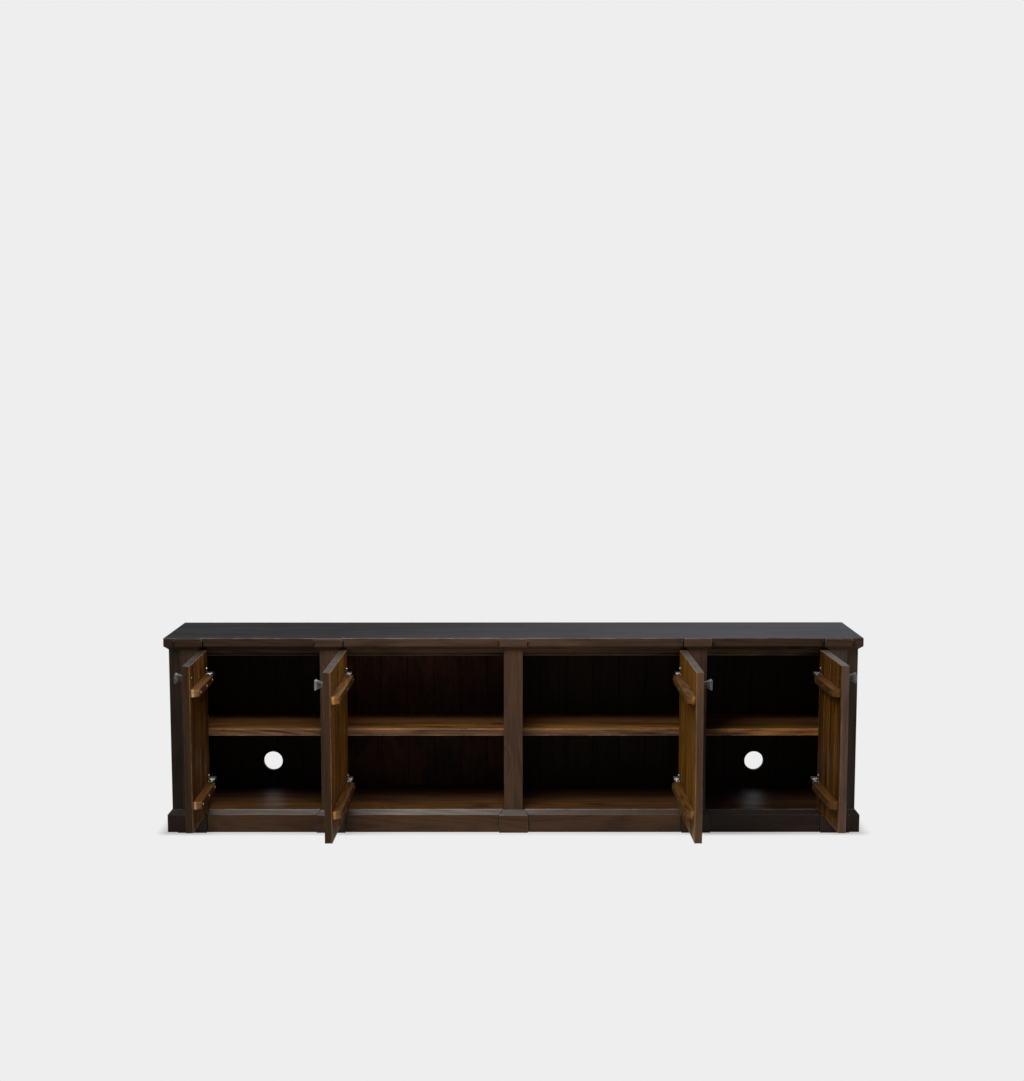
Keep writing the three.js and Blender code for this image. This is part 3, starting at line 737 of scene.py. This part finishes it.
def nickel(name):
    """Plated steel, painted dark for the dark inside that it reflects, with a painted highlight on the front
    of the arms' upper faces.
    """
    made, tree, shader, source = new_material(name)
    place = source["Object"]
    cloud = noise(tree, place, (60.0, 60.0, 60.0), 3.0, 0.6)
    brushed = noise(tree, place, (900.0, 60.0, 900.0), 2.0, 0.6)
    # the dark plating is a painted reflection of the dark inside; the pale front of the upward faces is a
    # painted highlight
    plating_and_painted_light = mixed(tree, spread(tree, cloud, 0.35, 0.65), tint("#2b2a28"), tint("#413f3c"))
    lit_from_above = spread(tree, split(tree, source["Normal"])[2], 0.2, 0.6)
    lit_towards_front = spread(tree, split(tree, place)[1], -0.150, -0.168, 0.12, 1.0)
    plating_and_painted_light = mixed(tree, reckon(tree, "MULTIPLY", lit_from_above, lit_towards_front), plating_and_painted_light, tint("#efede8"))
    colour = worn_and_highlit_metal(tree, place, 0.6, plating_and_painted_light, "#8f8d89")
    finish_surface(tree, shader, colour, spread(tree, brushed, 0.3, 0.7, 0.34, 0.46), brushed, 0.1, 0.0002)
    shader.inputs["Metallic"].default_value = 0.5
    return made


hinge_metal = nickel("hinge_nickel")


def rounded_arm(label):
    """The arm with its pressed edges rounded, drawn over the plain one."""
    shape = bmesh.new()
    shape.from_mesh(nodes[label].data)
    bmesh.ops.remove_doubles(shape, verts=shape.verts, dist=merge_distance)
    bmesh.ops.dissolve_limit(shape, angle_limit=flat_within, verts=shape.verts, edges=shape.edges)
    pressed = [e for e in shape.edges if len(e.link_faces) == 2 and e.calc_face_angle() > bent_beyond
               and e.calc_length() > shortest_pressed_edge]
    eased(shape, pressed, arm_rounding, 2)
    return shape


for index in range(4):
    for name in batten_levels:
        hinge = f"hinge_{index + 1}_{name}"
        dress(f"{hinge}_cup", hinge_metal)
        dress(f"{hinge}_link", hinge_metal)
        piece = finish_piece(rounded_arm(f"{hinge}_arm"), f"{hinge}_arm_pressed", hinge_metal, "cabinet",
                             smooth=35)
        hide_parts(f"{hinge}_arm")

# Screws
# Low round heads with a crossed slot. Brass ones hold the battens and the knobs, nickel-plated ones
# the hinge cups and the hinge plates. The brass is clean on the first door; on the others it took stain.
batten_screw = (0.0046, 0.0014)
cup_screw = (0.0044, 0.0044)
plate_screw = (0.0038, 0.0012)
knob_bolt = (0.0036, 0.0010)
head_squares = 5
inner_ring = 0.92
rim_drop = 0.35
slot_depth = 0.0009
slot_reach = 0.75
slot_taper = 0.8
screw_from_batten_end = 0.034
cup_screw_from_hinge = 0.0225
cup_screw_spacing = 0.0306
plate_screw_y = -0.150
plate_screw_spacing = 0.0125
hinge_to_pilaster = 0.003
plate_thickness = 0.0033
inwards = (0, 1, 0)


def brass(name, dark, light):
    """Brass with stain left on it in spots."""
    made, tree, shader, source = new_material(name)
    cloud = noise(tree, source["Object"], (300.0, 300.0, 300.0), 3.0, 0.6)
    colour = mixed(tree, spread(tree, cloud, 0.35, 0.65), tint(dark), tint(light))
    finish_surface(tree, shader, colour, spread(tree, cloud, 0.3, 0.7, 0.55, 0.42), cloud, 0.15, 0.0003)
    shader.inputs["Metallic"].default_value = 0.35
    return made


clean_brass = brass("clean_brass", "#a87c50", "#d6a878")
stained_brass = brass("stained_brass", "#4a3220", "#7a5838")


def screw_head(shape, matrix, radius, rise):
    """One low round head with a crossed slot, standing along the matrix's Z."""
    grid = bmesh.ops.create_grid(shape, x_segments=head_squares, y_segments=head_squares, size=radius)
    made = grid["verts"]
    top = [f for f in shape.faces if all(v in made for v in f.verts)]
    step = radius * 2 / head_squares
    # the grid's rim is drawn in to a circle and its next ring a little, and all of it is domed
    for vert in made:
        across = max(abs(vert.co.x), abs(vert.co.y))
        if across > radius - merge_distance:
            vert.co *= radius / vert.co.length
        elif across > step:
            vert.co *= inner_ring
        vert.co.z = rise * (1.0 - rim_drop * (vert.co.length / radius) ** 2)
    centres = {f: f.calc_center_median() for f in top}
    cross = [f for f, centre in centres.items()
             if min(abs(centre.x), abs(centre.y)) < step / 2 and centre.length < radius * slot_reach]
    sunk = risen(bmesh.ops.extrude_face_region(shape, geom=cross))
    bmesh.ops.delete(shape, geom=cross, context="FACES_ONLY")
    bmesh.ops.translate(shape, vec=(0.0, 0.0, -slot_depth), verts=sunk)
    bmesh.ops.scale(shape, vec=(slot_taper, slot_taper, 1.0), verts=sunk)
    head = made + sunk
    rim = [e for e in shape.edges if len(e.link_faces) == 1 and all(v in head for v in e.verts)]
    skirt = risen(bmesh.ops.extrude_edge_only(shape, edges=rim))
    for vert in skirt:
        vert.co.z = 0.0
    bottom = [e for e in shape.edges if len(e.link_faces) == 1 and all(v in skirt for v in e.verts)]
    bmesh.ops.holes_fill(shape, edges=bottom, sides=0)
    bmesh.ops.transform(shape, matrix=matrix, verts=head + skirt)


def facing(place, direction):
    """A matrix that stands a screw at a place with its head towards a direction."""
    return Matrix.Translation(place) @ Vector(direction).to_track_quat("Z", "Y").to_matrix().to_4x4()


def screws(name, places, direction, size, body, matrix=None, metal=hinge_metal):
    """One piece of like screw heads, whose size is a radius and a rise."""
    shape = bmesh.new()
    for place in places:
        screw_head(shape, facing(place, direction), *size)
    return finish_piece(shape, name, metal, body, matrix)


for index in range(4):
    number = index + 1
    hand = door_hand[index]
    near = batten_from_hinge + screw_from_batten_end
    far = door_width[index] - batten_from_free_edge - screw_from_batten_end
    plate_face = hinge_x[index] - hand * hinge_to_pilaster + hand * plate_thickness
    screw_metal = clean_brass if index == 0 else stained_brass
    for name, level in batten_levels.items():
        places = [(hand * along, batten_face, level) for along in (near, (near + far) / 2, far)]
        screws(f"door_{number}_batten_{name}_screws", places, inwards, batten_screw,
               f"door_{number}", door_place(index), screw_metal)
        places = [(hand * cup_screw_from_hinge, door_thickness, level + rise)
                  for rise in (-cup_screw_spacing, cup_screw_spacing)]
        screws(f"hinge_{number}_{name}_cup_screws", places, inwards, cup_screw,
               f"door_{number}", door_place(index))
        places = [(plate_face, plate_screw_y, level + rise)
                  for rise in (-plate_screw_spacing, plate_screw_spacing)]
        screws(f"hinge_{number}_{name}_plate_screws", places, (hand, 0, 0), plate_screw, "cabinet")
    place = (hand * (door_width[index] - knob_from_free_edge), door_thickness, knob_level)
    screws(f"door_{number}_knob_bolt", [place], inwards, knob_bolt,
           f"door_{number}", door_place(index), screw_metal)

# Studio
# A plain pale floor that runs into a pale surround. One soft light stands high in front,
# a weaker one low at the right, and one behind it that brings out the wax on the top.
floor_half = 30.0
footprint_x = 1.21
footprint_y = 0.2425
shadow_reach = 0.06
pale = (0.855, 0.855, 0.855, 1.0)
matt_grey = (0.56, 0.56, 0.56, 1.0)
white = (1.0, 1.0, 1.0, 1.0)
sky_strength = 0.04
floor_shape = bmesh.new()
bmesh.ops.create_grid(floor_shape, x_segments=1, y_segments=1, size=floor_half)
floor_mesh = bpy.data.meshes.new("floor")
floor_shape.to_mesh(floor_mesh)
floor_shape.free()
floor = bpy.data.objects.new("floor", floor_mesh)
scene.collection.objects.link(floor)


def seen_share(tree):
    """One for a ray that comes from the camera or off metal, nought for the light that reaches the wood."""
    path = tree.nodes.new("ShaderNodeLightPath")
    seen = reckon(tree, "MAXIMUM", path.outputs["Is Camera Ray"], path.outputs["Is Glossy Ray"])
    return reckon(tree, "MAXIMUM", seen, path.outputs["Is Transmission Ray"])


def outside(tree, coordinate, half):
    """How far a place lies beyond a half width, nought within it."""
    beyond = reckon(tree, "SUBTRACT", reckon(tree, "ABSOLUTE", coordinate), half)
    return reckon(tree, "MAXIMUM", beyond, 0.0)


floor_paint = bpy.data.materials.new("floor_paint")
floor_paint.use_nodes = True
t = floor_paint.node_tree
t.nodes.clear()
matt = add(t, "ShaderNodeBsdfDiffuse", {"Color": matt_grey})
plain_light = add(t, "ShaderNodeEmission", {"Color": pale, "Strength": 1.0})
where = split(t, t.nodes.new("ShaderNodeTexCoord").outputs["Object"])
away_x = outside(t, where[0], footprint_x)
away_y = outside(t, where[1], footprint_y)
away_squared = reckon(t, "ADD", reckon(t, "MULTIPLY", away_x, away_x), reckon(t, "MULTIPLY", away_y, away_y))
plainness = spread(t, reckon(t, "SQRT", away_squared), 0.0, shadow_reach, 0.5, 1.0)
share = reckon(t, "MULTIPLY", plainness, seen_share(t))
both = add(t, "ShaderNodeMixShader", {0: share, 1: matt.outputs[0], 2: plain_light.outputs[0]})
ending = t.nodes.new("ShaderNodeOutputMaterial")
t.links.new(both.outputs[0], ending.inputs["Surface"])
floor_mesh.materials.append(floor_paint)

world = bpy.data.worlds.new("surround")
scene.world = world
world.use_nodes = True
t = world.node_tree
t.nodes.clear()
dim = add(t, "ShaderNodeBackground", {"Color": white, "Strength": sky_strength})
shown = add(t, "ShaderNodeBackground", {"Color": pale, "Strength": 1.0})
both = add(t, "ShaderNodeMixShader", {0: seen_share(t), 1: dim.outputs[0], 2: shown.outputs[0]})
ending = t.nodes.new("ShaderNodeOutputWorld")
t.links.new(both.outputs[0], ending.inputs["Surface"])


def softbox(name, place, target, size, power, spread_degrees=180.0):
    """A soft lamp at a place, facing a target; a grid on its front narrows its spread."""
    data = bpy.data.lights.new(name, "AREA")
    data.shape = "RECTANGLE"
    data.size, data.size_y = size
    data.energy = power
    data.spread = math.radians(spread_degrees)
    lamp = bpy.data.objects.new(name, data)
    lamp.location = place
    lamp.rotation_euler = (Vector(target) - Vector(place)).to_track_quat("-Z", "Y").to_euler()
    scene.collection.objects.link(lamp)


softbox("key_light", (-0.45, -1.53, 2.37), target=(-0.12, -0.25, 0.40), size=(1.3, 1.2), power=30.5,
        spread_degrees=105.0)
softbox("side_light", (3.2, -1.8, 1.4), target=(1.0, -0.4, 0.5), size=(0.8, 0.8), power=24.0)
softbox("back_light", (4.5, 2.0, 2.4), target=(0.9, 0.0, 0.69), size=(1.2, 0.9), power=125.0)

scene.view_settings.view_transform = "Standard"
